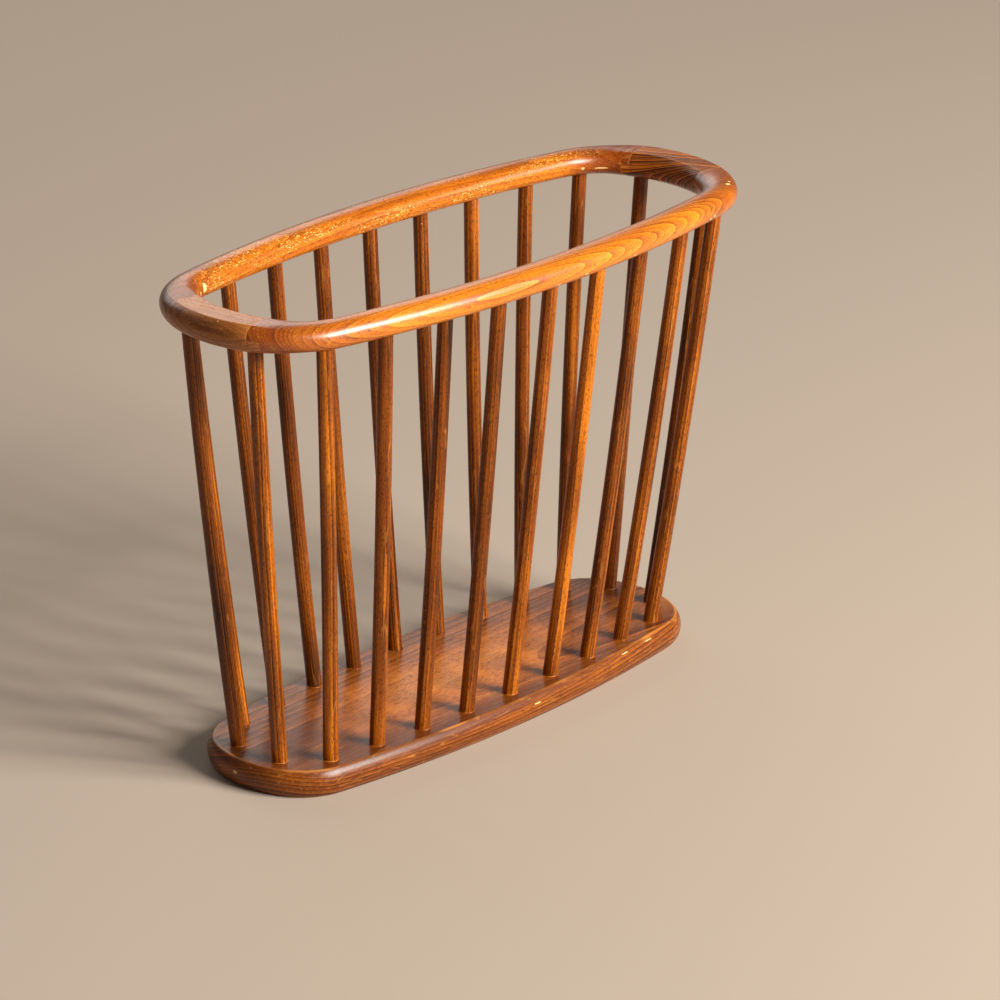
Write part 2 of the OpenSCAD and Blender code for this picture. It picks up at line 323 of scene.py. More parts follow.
def make_stained_grain():
    """Stain over grain: colour from dark to pale, with the marks of rings, pores and fibre."""
    tree, given, made = node_group(
        "Stained grain",
        [("Dark", "colour", None), ("Body", "colour", None), ("Pale", "colour", None),
         ("Swell", "value", 0.5), ("Line", "value", 0.0), ("Shade", "value", 0.5),
         ("Pores", "value", 0.0), ("Streaks", "value", 0.5), ("Drift", "value", 0.5),
         ("Tone", "value", 0.0), ("Ring Depth", "value", 0.35), ("Line Depth", "value", 0.5),
         ("Pore Depth", "value", 0.6), ("Streak Depth", "value", 0.7), ("Drift Depth", "value", 0.7)],
        [("Colour", "colour")],
    )
    level = maths(tree, "ADD", given["Tone"], MIDDLE_TONE)
    for mark, depth in (("Swell", "Ring Depth"), ("Streaks", "Streak Depth"), ("Drift", "Drift Depth")):
        swing = maths(tree, "SUBTRACT", given[mark], 0.5)
        level = maths(tree, "MULTIPLY_ADD", swing, given[depth], level)
    year = maths(tree, "MULTIPLY", maths(tree, "SUBTRACT", given["Shade"], 0.5), YEAR_SHARE)
    level = maths(tree, "MULTIPLY_ADD", year, given["Ring Depth"], level, clamp=True)
    low = blend(tree, ramped(tree, level, *DARK_TO_BODY), given["Dark"], given["Body"])
    wood = blend(tree, ramped(tree, level, *BODY_TO_PALE), low, given["Pale"])
    line = maths(tree, "MULTIPLY", given["Line"], given["Line Depth"])
    lined = blend(tree, line, wood, given["Pale"])
    pored = maths(tree, "MULTIPLY", given["Pores"], given["Pore Depth"])
    feed(tree, made["Colour"], blend(tree, pored, lined, given["Dark"]))
    return tree


RUBBED_PATCH = (0.48, 0.68)
CHIP_SPREAD = 0.45
CHIP_START = 0.86
CHIP_START_FALL = 0.3
CHIP_EDGE = 0.03
SCRATCH_WIDTH = (0.008, 0.024)
SCRATCH_PATCH = (0.5, 0.62)


def make_handling_wear():
    """Where years of handling show: rubbed patches, small chips and fine scratches."""
    tree, given, made = node_group(
        "Handling wear",
        [("Place", "place", None), ("Chip Size", "value", 0.0012), ("Chips", "value", 0.3),
         ("Scratches", "value", 0.3)],
        [("Rubbed", "value"), ("Chips", "value"), ("Scratches", "value")],
    )
    patches = noise(tree, given["Place"], RUBBED_CELLS, 3.0)
    feed(tree, made["Rubbed"], ramped(tree, patches, *RUBBED_PATCH))
    cells = maths(tree, "DIVIDE", CHIP_SPREAD, given["Chip Size"])
    scale = put(tree, "ShaderNodeCombineXYZ", {0: cells, 1: cells, 2: cells}).outputs[0]
    start = maths(tree, "MULTIPLY_ADD", given["Chips"], -CHIP_START_FALL, CHIP_START)
    stop = maths(tree, "ADD", start, CHIP_EDGE)
    feed(tree, made["Chips"], ramped(tree, noise(tree, given["Place"], scale, 1.5), start, stop))
    runs = noise(tree, given["Place"], SCRATCH_CELLS, 1.0, 0.5, 0.4)
    off = maths(tree, "ABSOLUTE", maths(tree, "SUBTRACT", runs, 0.5))
    line = ramped(tree, off, *SCRATCH_WIDTH, 1.0, 0.0)
    where = ramped(tree, noise(tree, given["Place"], SCRATCH_PATCH_CELLS), *SCRATCH_PATCH)
    cut = maths(tree, "MULTIPLY", line, where)
    feed(tree, made["Scratches"], maths(tree, "MULTIPLY", cut, given["Scratches"]))
    return tree


# The varnish film's relief and roughness, as shares of each thing under it
FILM_SLOW = 0.9
FILM_FINE = 0.12
FILM_RING = 0.16
FILM_PORE = -0.22
FILM_MARK = -0.5
ROUGH_SLOW = 0.3
ROUGH_PORE = 0.12
ROUGH_MARK = 0.3
ROUGH_LEAST = 0.08


def make_varnish_skin():
    """The varnish film: its slow unevenness and what it lets through of the grain."""
    tree, given, made = node_group(
        "Varnish skin",
        [("Place", "place", None), ("Swell", "value", 0.5), ("Pores", "value", 0.0),
         ("Marks", "value", 0.0), ("Gloss", "value", 0.3)],
        [("Height", "value"), ("Roughness", "value")],
    )
    slow = noise(tree, given["Place"], VARNISH_SLOW_CELLS)
    fine = noise(tree, given["Place"], VARNISH_FINE_CELLS, 1.0)
    height = maths(tree, "MULTIPLY_ADD", fine, FILM_FINE, maths(tree, "MULTIPLY", slow, FILM_SLOW))
    height = maths(tree, "MULTIPLY_ADD", given["Swell"], FILM_RING, height)
    height = maths(tree, "MULTIPLY_ADD", given["Pores"], FILM_PORE, height)
    feed(tree, made["Height"], maths(tree, "MULTIPLY_ADD", given["Marks"], FILM_MARK, height))
    swing = maths(tree, "SUBTRACT", slow, 0.5)
    rough = maths(tree, "MULTIPLY_ADD", swing, ROUGH_SLOW, given["Gloss"])
    rough = maths(tree, "MULTIPLY_ADD", given["Pores"], ROUGH_PORE, rough)
    rough = maths(tree, "MULTIPLY_ADD", given["Marks"], ROUGH_MARK, rough)
    feed(tree, made["Roughness"], maths(tree, "MAXIMUM", rough, ROUGH_LEAST))
    return tree


CHIP_RAGGEDNESS = 0.9
CHIP_RIM = (1.25, 1.4)


def make_chip():
    """One chip or dent at a known place, with a ragged edge."""
    tree, given, made = node_group(
        "Chip",
        [("Place", "place", None), ("Middle", "place", None), ("Reach", "place", (0.002, 0.002, 0.002))],
        [("Chip", "value")],
    )
    off = vector_maths(tree, "DIVIDE", vector_maths(tree, "SUBTRACT", given["Place"], given["Middle"]),
                       given["Reach"])
    away = put(tree, "ShaderNodeVectorMath", {0: off}, operation="LENGTH").outputs["Value"]
    edge = noise(tree, given["Place"], CHIP_EDGE_CELLS)
    ragged = maths(tree, "MULTIPLY_ADD", edge, CHIP_RAGGEDNESS, away)
    feed(tree, made["Chip"], ramped(tree, ragged, *CHIP_RIM, 1.0, 0.0))
    return tree


RINGS = make_growth_rings()
PORES = make_wood_pores()
FIBRE = make_wood_fibre()
STAIN = make_stained_grain()
WEAR = make_handling_wear()
SKIN = make_varnish_skin()
CHIP = make_chip()


# ---- Woods ----

def place_group(tree, group, feeds):
    node = tree.nodes.new("ShaderNodeGroup")
    node.node_tree = group
    for key, value in feeds.items():
        feed(tree, node.inputs[key], value)
    return node.outputs


def srgb(red, green, blue):
    """A colour as a dyer would read it off a chart, 0 to 255, as linear light."""
    def linear(value):
        share = value / 255
        return share / 12.92 if share <= 0.04045 else ((share + 0.055) / 1.055) ** 2.4
    return (linear(red), linear(green), linear(blue), 1.0)


def attribute(tree, name, output="Fac"):
    return put(tree, "ShaderNodeAttribute", attribute_name=name).outputs[output]


BARE_WOOD = srgb(238, 196, 134)

# Shares used by every wood
GLINT_LENGTH = 1.7 * MM
GLINT_WIDTH = 0.8 * MM
GLINT_COVER = 0.4
GLINT_PATCH = (0.44, 0.62)
GLINT_SHIFT = (0.7, 0.31, 0.13)
RING_COVER_FALL = 0.16
RUBBED_LEAST = 0.25
GLUE_LINE_SHARE = 0.6
SCRATCH_SHARE = 0.6
CHIP_SHARE = 0.85
RELIEF = 0.6 * MM


class Wood:
    """One varnished wood, from the shared groups. A turn is in degrees about X, Y and Z."""
    dark = srgb(70, 30, 8)
    body = srgb(150, 82, 26)
    pale = srgb(214, 140, 62)
    ring_width = 2.6 * MM
    wander = 2.2 * MM
    pore_length = 3.4 * MM
    pore_width = 0.42 * MM
    pore_cover = 0.42
    chips = 0.2
    chip_size = 1.1 * MM
    scratches = 0.3
    gloss = 0.34
    coat = 0.4
    coat_roughness = 0.27
    coat_ior = 1.5
    specular = 0.1
    bump = 0.16
    tone = 0.0
    start = (0.0, 0.0, 0.0)
    turn = (0.0, 0.0, 0.0)
    line_colour = srgb(226, 150, 70)
    line_share = 0.55
    ring_depth = 0.35
    line_depth = 0.5
    pore_depth = 0.6
    streak_depth = 0.7
    drift_depth = 0.7
    # Share and colour of the painted glints: bright dashes standing in for light caught by pitted varnish.
    glint_share = 0.0
    glint_colour = srgb(255, 214, 120)
    fades_to_lap = False
    lap_tint = (0.50, 0.37, 0.50, 1.0)
    marks = ()

    def __init__(self, name, **changes):
        for key, value in changes.items():
            setattr(self, key, value)
        self.made = bpy.data.materials.new(name)
        self.made.use_nodes = True
        tree = self.made.node_tree
        tree.nodes.clear()
        self.tree = tree
        self.build()

    def grain_place(self):
        place = put(self.tree, "ShaderNodeTexCoord").outputs["Object"]
        feeds = {"Vector": place, "Location": self.start,
                 "Rotation": tuple(math.radians(turn) for turn in self.turn)}
        return put(self.tree, "ShaderNodeMapping", feeds).outputs[0], place

    def tone_value(self):
        return self.tone

    def with_painted_glints(self, colour, grain):
        """Short bright dashes in drifts, painted into the colour as glints of light off pitted varnish."""
        tree = self.tree
        place = vector_maths(tree, "ADD", grain, GLINT_SHIFT)
        dashes = place_group(tree, PORES, {"Place": place, "Length": GLINT_LENGTH,
                                           "Width": GLINT_WIDTH, "Cover": GLINT_COVER})["Pores"]
        where = ramped(tree, noise(tree, place, GLINT_PATCH_CELLS), *GLINT_PATCH)
        share = maths(tree, "MULTIPLY", maths(tree, "MULTIPLY", dashes, where), self.glint_share)
        return blend(tree, share, colour, self.glint_colour)

    def stained(self, grain, rings, pores):
        """The stained grain, before any wear."""
        fibre = place_group(self.tree, FIBRE, {"Place": grain})
        return place_group(self.tree, STAIN, {
            "Dark": self.dark, "Body": self.body, "Pale": self.pale, "Swell": rings["Swell"],
            "Line": rings["Line"], "Shade": rings["Shade"], "Pores": pores,
            "Streaks": fibre["Streaks"], "Drift": fibre["Drift"], "Tone": self.tone_value(),
            "Ring Depth": self.ring_depth, "Line Depth": self.line_depth,
            "Pore Depth": self.pore_depth, "Streak Depth": self.streak_depth,
            "Drift Depth": self.drift_depth,
        })["Colour"]

    def rubbed(self, colour, wear):
        """Paler along rubbed arrises, where the pale line is also a painted highlight, and along glue
        lines and scratches.
        """
        tree = self.tree
        rubbed = maths(tree, "MULTIPLY_ADD", wear["Rubbed"], 1 - RUBBED_LEAST, RUBBED_LEAST)
        # The pale arris line: rubbed-off stain, together with a painted highlight along the edge.
        arris = maths(tree, "MULTIPLY", attribute(tree, "arris"), self.line_share)
        colour = blend(tree, maths(tree, "MULTIPLY", arris, rubbed), colour, self.line_colour)
        glue = maths(tree, "MULTIPLY", attribute(tree, "glue_line"), GLUE_LINE_SHARE)
        colour = blend(tree, maths(tree, "MULTIPLY", glue, rubbed), colour, self.line_colour)
        scratched = maths(tree, "MULTIPLY", wear["Scratches"], SCRATCH_SHARE)
        return blend(tree, scratched, colour, self.line_colour)

    def chipped(self, colour, chips, place):
        """Bare wood in the chips, and how much of each spot is chipped."""
        tree = self.tree
        colour = blend(tree, chips, colour, BARE_WOOD)
        for middle, reach in self.marks:
            chip = place_group(tree, CHIP, {"Place": place, "Middle": middle, "Reach": reach})["Chip"]
            colour = blend(tree, maths(tree, "MULTIPLY", chip, CHIP_SHARE), colour, BARE_WOOD)
            chips = maths(tree, "MAXIMUM", chips, chip)
        return colour, chips

    def varnish(self, colour, grain, swell, pores, marks):
        """The varnished surface, duller where it is marked."""
        tree = self.tree
        skin = place_group(tree, SKIN, {"Place": grain, "Swell": swell, "Pores": pores,
                                        "Marks": marks, "Gloss": self.gloss})
        relief = put(tree, "ShaderNodeBump", {"Height": skin["Height"], "Strength": self.bump,
                                              "Distance": RELIEF})
        shader = put(tree, "ShaderNodeBsdfPrincipled", {
            "Base Color": colour, "Roughness": skin["Roughness"], "Normal": relief.outputs[0],
            "Coat Weight": maths(tree, "MULTIPLY_ADD", marks, -self.coat, self.coat, clamp=True),
            "Coat Roughness": self.coat_roughness, "Coat IOR": self.coat_ior,
            "Specular IOR Level": self.specular,
        })
        out = put(tree, "ShaderNodeOutputMaterial")
        tree.links.new(shader.outputs[0], out.inputs[0])

    def build(self):
        tree = self.tree
        grain, place = self.grain_place()
        rings = place_group(tree, RINGS, {"Place": grain, "Ring Width": self.ring_width,
                                          "Wander": self.wander})
        cover = maths(tree, "MULTIPLY_ADD", rings["Swell"], -RING_COVER_FALL, self.pore_cover)
        pores = place_group(tree, PORES, {"Place": grain, "Length": self.pore_length,
                                          "Width": self.pore_width, "Cover": cover})["Pores"]
        wear = place_group(tree, WEAR, {"Place": grain, "Chip Size": self.chip_size,
                                        "Chips": self.chips, "Scratches": self.scratches})
        colour = self.stained(grain, rings, pores)
        # Painted glints: bright dashes in the colour stand in for light caught by pitted varnish.
        if self.glint_share:
            colour = self.with_painted_glints(colour, grain)
        if self.fades_to_lap:
            colour = blend(tree, attribute(tree, "near_lap"), colour, self.lap_tint, "MULTIPLY")
        colour = self.rubbed(colour, wear)
        colour, chips = self.chipped(colour, wear["Chips"], place)
        marks = maths(tree, "MAXIMUM", chips, wear["Scratches"])
        self.varnish(colour, grain, rings["Swell"], pores, marks)


class SpindleWood(Wood):
    """Wood of the spindles, whose grain follows each dowel by the place stored on its mesh."""

    def grain_place(self):
        place = attribute(self.tree, "wood", "Vector")
        return place, place

    def tone_value(self):
        return attribute(self.tree, "tone")


BOARD_PATCHINESS = 0.5
BOARD_TONE_REACH = (0.35, 1.15)
BOARD_MIDDLE_TONE = 0.2
BOARD_RIM_TONE = -0.3


class BoardWood(Wood):
    """Wood of the board: lighter in the middle, darker towards the rim, in patches."""

    def tone_value(self):
        tree = self.tree
        place = put(tree, "ShaderNodeTexCoord").outputs["Object"]
        reach = (2 / BOARD_LENGTH, 2 / BOARD_WIDTH, 0)
        off = vector_maths(tree, "MULTIPLY", place, reach)
        away = put(tree, "ShaderNodeVectorMath", {0: off}, operation="LENGTH").outputs["Value"]
        patches = noise(tree, place, BOARD_PATCH_CELLS)
        patchy = maths(tree, "MULTIPLY_ADD", patches, BOARD_PATCHINESS, away)
        return ramped(tree, patchy, *BOARD_TONE_REACH, BOARD_MIDDLE_TONE, BOARD_RIM_TONE)


def at(x, y, z):
    """A place or a reach given in millimetres."""
    return (x * MM, y * MM, z * MM)


RAIL_FRONT_MARKS = (
    (at(221, -64.9, 359.5), at(3.2, 1.6, 1.2)),
    (at(226, -61.5, 359), at(1.6, 1.2, 1.2)),
    (at(184.9, -82.9, 347.5), at(1.5, 1.5, 1.2)),
    (at(179.6, -83.5, 346.6), at(1.2, 1.2, 1)),
    (at(205, -74, 347.5), at(1.7, 1.5, 1)),
    (at(80, -96.5, 346), at(1.6, 1.2, 0.9)),
    (at(-5, -99, 345.5), at(1.5, 1.5, 0.8)),
    (at(24, -99, 346.5), at(2.4, 1.5, 0.9)),
)
RAIL_BACK_MARKS = (
    (at(-197.4, 56.2, 352.2), at(3.3, 3.3, 3.9)),
    (at(-206.3, 51.1, 351), at(1.6, 1.6, 2)),
    (at(210.4, 48, 348.4), at(6.5, 6.5, 0.75)),
    (at(199, 57, 349), at(2, 2, 1.6)),
)
BOARD_MARKS = (
    (at(117.7, -66.9, 17.9), at(5, 1.2, 0.4)),
    (at(148.3, -63.3, 17.9), at(6, 1.6, 0.4)),
    (at(11.6, -74.5, 13.6), at(4, 1.2, 0.5)),
    (at(-222.9, 2.4, 11.4), at(1.2, 2.4, 1.2)),
    (at(-219, -17, 13), at(1.4, 1.4, 0.8)),
)

rail_front_wood = Wood(
    "rail_front_wood", dark=srgb(112, 48, 3), body=srgb(204, 110, 6), pale=srgb(238, 152, 24),
    start=at(0, -8, -310), turn=(0, 0, 3.4), ring_width=2.3 * MM, wander=1.3 * MM, chips=0.1,
    ring_depth=0.34, line_depth=0.45, drift_depth=0.3, streak_depth=0.45, pore_depth=0.75,
    pore_cover=0.58, pore_length=2.4 * MM, pore_width=0.42 * MM, line_colour=srgb(236, 162, 66),
    coat=1.0, coat_roughness=0.33, coat_ior=1.6, fades_to_lap=True, marks=RAIL_FRONT_MARKS,
)
rail_back_wood = Wood(
    "rail_back_wood", dark=srgb(100, 42, 2), body=srgb(188, 98, 3), pale=srgb(234, 144, 16),
    start=at(300, -120, -200), turn=(0, 0.4, 0.3), ring_width=3.6 * MM, chips=0.2,
    ring_depth=0.2, line_depth=0.1, drift_depth=0.5, streak_depth=0.4, pore_cover=0.62, glint_share=0.75,
    pore_length=2.4 * MM, pore_width=0.5 * MM, pore_depth=0.75, line_colour=srgb(246, 184, 92),
    coat=0.8, coat_roughness=0.3, fades_to_lap=True, marks=RAIL_BACK_MARKS,
)
rail_left_wood = Wood(
    "rail_left_wood", dark=srgb(92, 46, 14), body=srgb(166, 96, 38), pale=srgb(212, 136, 66),
    start=at(100, 50, -200), turn=(0, 0, 84), ring_width=3.2 * MM, pore_length=2.4 * MM,
    ring_depth=0.22, line_depth=0.2, drift_depth=0.7, line_share=0.8, line_colour=srgb(220, 148, 84),
    pore_cover=0.55, pore_width=0.6 * MM, specular=0.3,
)
# The right end's colours are darker than the left end's: partly its own darker stain, partly painted
# shade, darkened to match its shadowed inner face.
rail_right_wood = Wood(
    "rail_right_wood", dark=srgb(38, 14, 2), body=srgb(122, 58, 13), pale=srgb(218, 122, 30),
    start=at(200, -50, -200), turn=(8, 0, 70), ring_width=2.0 * MM, ring_depth=0.62,
    line_depth=0.5, drift_depth=0.5, line_share=0.6, line_colour=srgb(214, 144, 80), specular=0.2,
)
board_wood = BoardWood(
    "board_wood", dark=srgb(80, 33, 4), body=srgb(182, 98, 20), pale=srgb(230, 144, 46),
    start=at(0, 30, 110), turn=(0, 1.0, 0.6), ring_width=3.6 * MM, pore_length=4.5 * MM,
    pore_width=0.5 * MM, pore_cover=0.58, gloss=0.42, chips=0.1, scratches=0.4, line_share=0.6,
    ring_depth=0.16, line_depth=0.12, drift_depth=0.25, streak_depth=0.35, pore_depth=0.7,
    line_colour=srgb(228, 150, 72), specular=0.15, marks=BOARD_MARKS,
)
bead_wood = Wood(
    "bead_varnish", dark=srgb(66, 28, 3), body=srgb(126, 62, 14), pale=srgb(196, 120, 46),
    start=at(40, 30, 60), ring_width=5 * MM, gloss=0.25, chips=0.0, scratches=0.0, drift_depth=1.2,
)
spindle_wood = SpindleWood(
    "spindle_wood", dark=srgb(30, 11, 1), body=srgb(120, 56, 3), pale=srgb(210, 118, 18),
    ring_width=1.9 * MM, pore_length=2.6 * MM, pore_width=0.38 * MM, pore_cover=0.6, chips=0.12,
    ring_depth=0.3, line_depth=0.3, drift_depth=0.95, streak_depth=0.7, pore_depth=0.7, coat=0.4,
)


# ---- Pieces as plain meshes ----

SHARP_TURN = 38.0


def mesh_piece(name, verts, faces, wood, values):
    """A closed, smooth piece at the origin, with named values stored on its corners."""
    mesh = bpy.data.meshes.new(name)
    mesh.from_pydata([tuple(v) for v in verts], [], faces)
    work = bmesh.new()
    work.from_mesh(mesh)
    bmesh.ops.recalc_face_normals(work, faces=work.faces)
    work.to_mesh(mesh)
    work.free()
    for title, numbers in values.items():
        mesh.attributes.new(title, "FLOAT", "POINT").data.foreach_set("value", numbers)
    mesh.shade_smooth()
    mesh.set_sharp_from_angle(angle=math.radians(SHARP_TURN))
    mesh.materials.append(wood.made)
    piece = bpy.data.objects.new(name, mesh)
    bpy.context.scene.collection.objects.link(piece)
    return piece


def smooth_step(low, high, value):
    share = min(1.0, max(0.0, (value - low) / (high - low)))
    return share * share * (3 - 2 * share)


# ---- Rail ----

CREASE_TURN = 52.0
CREASES = (CREASE_TURN, 180 - CREASE_TURN, 180 + CREASE_TURN, 360 - CREASE_TURN)
CREASE_STEP = 1.6
MIDDLE_STEP = 3.0
SECTION_STEP = 6
STEP_ROOM = 2.5


def section_turns():
    """Turns round the rail's section, closer together at the creases and at mid height."""
    marked = [crease + step for crease in CREASES for step in (-CREASE_STEP, 0, CREASE_STEP)]
    for middle in (0.0, 180.0, 360.0):
        marked += [middle - MIDDLE_STEP, middle, middle + MIDDLE_STEP]
    marked = [turn for turn in marked if 0 <= turn < 360]
    even = [turn for turn in range(SECTION_STEP, 360, SECTION_STEP)
            if min(abs(turn - mark) for mark in marked) > STEP_ROOM]
    return sorted(marked + even)


SECTION_TURNS = section_turns()
SIDE_ROUNDNESS = 2.15
CREASE_REACH = 34 * MM


def side_section(turn, half_width):
    """Point of the side rail's soft round, as shares out and up turned into metres."""
    angle = math.radians(turn)
    power = 2 / SIDE_ROUNDNESS
    out = math.copysign(abs(math.cos(angle)) ** power, math.cos(angle))
    up = math.copysign(abs(math.sin(angle)) ** power, math.sin(angle))
    return half_width * out, RAIL_HALF * up


def end_section(turn, half_width):
    """Point of the end rail's section: a flat top and underside between two rounded edges."""
    edge = RAIL_HALF + RAIL_EDGE_SPREAD
    last = math.asin(RAIL_HALF / edge)
    flat_half = half_width - edge + edge * math.cos(last)
    up = 1 if turn <= 180 else -1
    near = turn if turn <= 180 else 360 - turn
    if near <= CREASE_TURN:
        angle = near / CREASE_TURN * last
        return half_width - edge + edge * math.cos(angle), up * edge * math.sin(angle)
    if near >= 180 - CREASE_TURN:
        angle = (180 - near) / CREASE_TURN * last
        return -(half_width - edge + edge * math.cos(angle)), up * edge * math.sin(angle)
    share = (near - CREASE_TURN) / (180 - 2 * CREASE_TURN)
    return flat_half * (1 - 2 * share), up * RAIL_HALF


def rail_place(distance):
    """Outer and inner points of the rail at a distance round it from the middle of the back."""
    lap = distance % (4 * RAIL_QUARTER)
    quarter = int(lap // RAIL_QUARTER)
    run = lap - quarter * RAIL_QUARTER
    if quarter % 2:
        run = RAIL_QUARTER - run
    x_sign = 1 if quarter < 2 else -1
    y_sign = 1 if quarter in (0, 3) else -1
    turn = rail_line.turn_at(run)
    outer = rail_outer.point(turn)
    inner = rail_inner.point(turn)
    signs = Vector((x_sign, y_sign))
    return outer * signs, inner * signs, run


def rail_ring(distance, shrink):
    outer, inner, run = rail_place(distance)
    middle = (outer + inner) / 2
    way = (outer - inner) / 2
    half_width = way.length
    way.normalize()
    endness = smooth_step(LAP_MIDDLE - CREASE_REACH, LAP_MIDDLE + CREASE_REACH / 3, run)
    ring = []
    for turn in SECTION_TURNS:
        soft = side_section(turn, half_width - shrink)
        flat = end_section(turn, half_width - shrink)
        out, up = ((1 - endness) * a + endness * b for a, b in zip(soft, flat))
        spot = middle + way * out
        ring.append(Vector((spot.x, spot.y, RAIL_MIDDLE + up * (1 - shrink / RAIL_HALF))))
    return ring, endness


STATION_GAP = 2.6 * MM
GLUE_REACH = 0.7 * MM
GLUE_GROOVE = 0.08 * MM
LAP_FADE = 85 * MM
CROWDING = 1.6


SAME_PLACE = 1e-7
OUTER_MIDDLE = 0
INNER_MIDDLE = SECTION_TURNS.index(180.0)
UPPER_HALF = [*range(INNER_MIDDLE + 1)]
LOWER_HALF = [*range(INNER_MIDDLE, len(SECTION_TURNS)), OUTER_MIDDLE]
TOP_CREASES = (CREASE_TURN, 180 - CREASE_TURN)


def span_holds(span, start, stop):
    return span[0] - SAME_PLACE <= start and stop <= span[1] + SAME_PLACE


def gap_to(station, ends):
    return min(abs(station - end) for end in ends)


class LappedSegment:
    """One rail segment. Its lower and upper halves cover their own spans round the rail."""

    def __init__(self, low_span, high_span):
        self.low_span = low_span
        self.high_span = high_span
        self.ends = [*low_span, *high_span]
        self.stations = self.place_stations()
        self.verts = []
        self.index = {}
        self.values = {"glue_line": [], "arris": [], "near_lap": []}
        self.faces = []
        for number in range(len(self.stations)):
            self.add_ring(number)
        for number in range(len(self.stations) - 1):
            self.add_skin(number)
            self.add_lap_step(number)
        for span, half in ((low_span, LOWER_HALF), (high_span, UPPER_HALF)):
            for end in span:
                self.close_end(end, half)

    def place_stations(self):
        """Places round the rail for a ring: even, with three close together at each cut end."""
        first, last = min(self.ends), max(self.ends)
        steps = round((last - first) / STATION_GAP)
        even = {first + (last - first) * i / steps for i in range(steps + 1)}
        extra = {end + step for end in self.ends for step in (-GLUE_REACH, 0, GLUE_REACH)}
        crowded = {s for s in even if gap_to(s, self.ends) < CROWDING * GLUE_REACH}
        return sorted(s for s in (even - crowded) | extra if first <= s <= last)

    def add_ring(self, number):
        station = self.stations[number]
        is_end = gap_to(station, self.ends) < SAME_PLACE
        ring, endness = rail_ring(station, GLUE_GROOVE if is_end else 0.0)
        closeness = 1 - smooth_step(0.0, LAP_FADE, gap_to(station, self.ends))
        in_low = span_holds(self.low_span, station, station)
        in_high = span_holds(self.high_span, station, station)
        for place, spot in enumerate(ring):
            is_upper = place in UPPER_HALF
            if (in_high and is_upper) or (in_low and place in LOWER_HALF):
                self.index[number, place] = len(self.verts)
                self.verts.append(spot)
                on_step = place in (OUTER_MIDDLE, INNER_MIDDLE) and in_low != in_high
                own_span = self.high_span if is_upper else self.low_span
                glued = on_step or gap_to(station, own_span) < SAME_PLACE
                self.values["glue_line"].append(1.0 if glued else 0.0)
                # Pale line on the top creases of the end sections: rubbed-off stain and a painted
                # highlight.
                on_crease = SECTION_TURNS[place] in TOP_CREASES
                self.values["arris"].append(endness if on_crease else 0.0)
                self.values["near_lap"].append(closeness)

    def covers(self, span, number):
        return span_holds(span, self.stations[number], self.stations[number + 1])

    def add_skin(self, number):
        for place in range(len(SECTION_TURNS)):
            after = (place + 1) % len(SECTION_TURNS)
            span = self.high_span if place < INNER_MIDDLE else self.low_span
            if self.covers(span, number):
                corners = ((number, place), (number + 1, place), (number + 1, after), (number, after))
                self.faces.append([self.index[corner] for corner in corners])

    def add_lap_step(self, number):
        """The flat of a half-lap, where only one half of the section runs on."""
        if self.covers(self.low_span, number) != self.covers(self.high_span, number):
            corners = ((number, OUTER_MIDDLE), (number + 1, OUTER_MIDDLE),
                       (number + 1, INNER_MIDDLE), (number, INNER_MIDDLE))
            self.faces.append([self.index[corner] for corner in corners])

    def close_end(self, end, half):
        number = min(range(len(self.stations)), key=lambda i: abs(self.stations[i] - end))
        self.faces.append([self.index[number, place] for place in half])


def build_rail():
    low = LAP_MIDDLE - LAP_LENGTH / 2
    high = LAP_MIDDLE + LAP_LENGTH / 2
    front = 2 * RAIL_QUARTER
    whole = 4 * RAIL_QUARTER
    segments = (
        ("rail_back", (-low, low), (-high, high), rail_back_wood, "rail_side_wood"),
        ("rail_right", (low, front - low), (high, front - high), rail_right_wood, "rail_end_wood"),
        ("rail_front", (front - low, front + low), (front - high, front + high),
         rail_front_wood, "rail_side_wood"),
        ("rail_left", (front + low, whole - low), (front + high, whole - high),
         rail_left_wood, "rail_end_wood"),
    )
    for node, low_span, high_span, wood, slot in segments:
        shape = LappedSegment(low_span, high_span)
        piece = mesh_piece("varnished_" + node, shape.verts, shape.faces, wood, shape.values)
        hand_over(piece, slot, node)


def hand_over(piece, slot, *nodes):
    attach(piece, "root")
    if nodes:
        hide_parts(*nodes)


# ---- Board ----

ARRIS_ROUND = 0.7 * MM
EDGE_STEPS = 22
OUTLINE_STEPS = 110
# Paleness where the round meets top and underside: wear and a painted highlight.
EDGE_WEAR_AND_HIGHLIGHT = 0.55
# Across the arris: in from the edge and down, in arris rounds, and how pale its line is, from rubbed-off
# stain and a painted highlight
ARRIS_POINTS = ((8, 0, 0.0), (2.2, 0, 0.0), (1, 0, 0.7), (0.12, 0.14, 1.0))


def board_profile():
    """Inset from the outline, height and the arris line's paleness (rubbed-off stain and a painted
    highlight), from the top over the edge to the underside.
    """
    half = BOARD_THICKNESS / 2
    edge = half + BOARD_EDGE_SPREAD
    last = math.asin(half / edge)
    flat_inset = edge - edge * math.cos(last)
    top = [(flat_inset + inset * ARRIS_ROUND, half - drop * ARRIS_ROUND, wear_and_highlight)
           for inset, drop, wear_and_highlight in ARRIS_POINTS]
    dip = last - ARRIS_ROUND / edge
    rounded = []
    for step in range(EDGE_STEPS + 1):
        angle = dip * (1 - 2 * step / EDGE_STEPS)
        wear_and_highlight = EDGE_WEAR_AND_HIGHLIGHT if step in (0, EDGE_STEPS) else 0.0
        rounded.append((edge - edge * math.cos(angle), edge * math.sin(angle), wear_and_highlight))
    underside = [(inset, -height, 0.0) for inset, height, wear_and_highlight in reversed(top)]
    return top + rounded + underside


def board_outline(inset, turns):
    quarter = [board_oval.point(turn, inset) for turn in turns]
    back_right = quarter[:-1]
    front_right = [p * Vector((1, -1)) for p in reversed(quarter)][:-1]
    front_left = [p * Vector((-1, -1)) for p in quarter][:-1]
    back_left = [p * Vector((-1, 1)) for p in reversed(quarter)][:-1]
    return back_right + front_right + front_left + back_left


